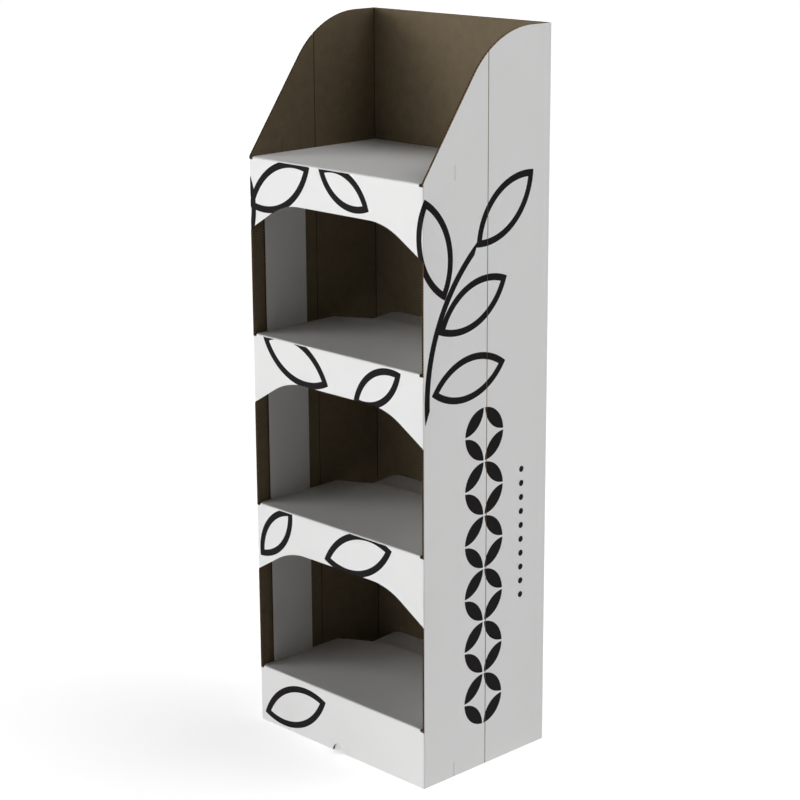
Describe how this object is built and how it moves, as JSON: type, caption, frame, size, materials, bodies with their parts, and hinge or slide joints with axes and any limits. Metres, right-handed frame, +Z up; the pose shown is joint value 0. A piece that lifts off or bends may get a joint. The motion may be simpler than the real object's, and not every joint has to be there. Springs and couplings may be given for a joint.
{
  "type": "cardboard display stand",
  "caption": "Tall floor display stand folded from corrugated board, with stacked shelves behind arched windows and a curved open header.",
  "frame": {"origin": "on the floor, in the middle of the footprint", "axes": "+Z up, -Y out of the open front, +X to the right seen from the front"},
  "size_m": [0.5, 0.354, 1.507],
  "materials": {
    "sleeve_board": "white liner outside, brown liner inside, matte",
    "support_board": "white liner on both faces, matte"
  },
  "bodies": {
    "root": {"sleeve": "sleeve_board", "lower_shelf_support": "support_board", "middle_shelf_support": "support_board", "upper_shelf_support": "support_board", "top_shelf_support": "support_board"}
  },
  "joints": []
}
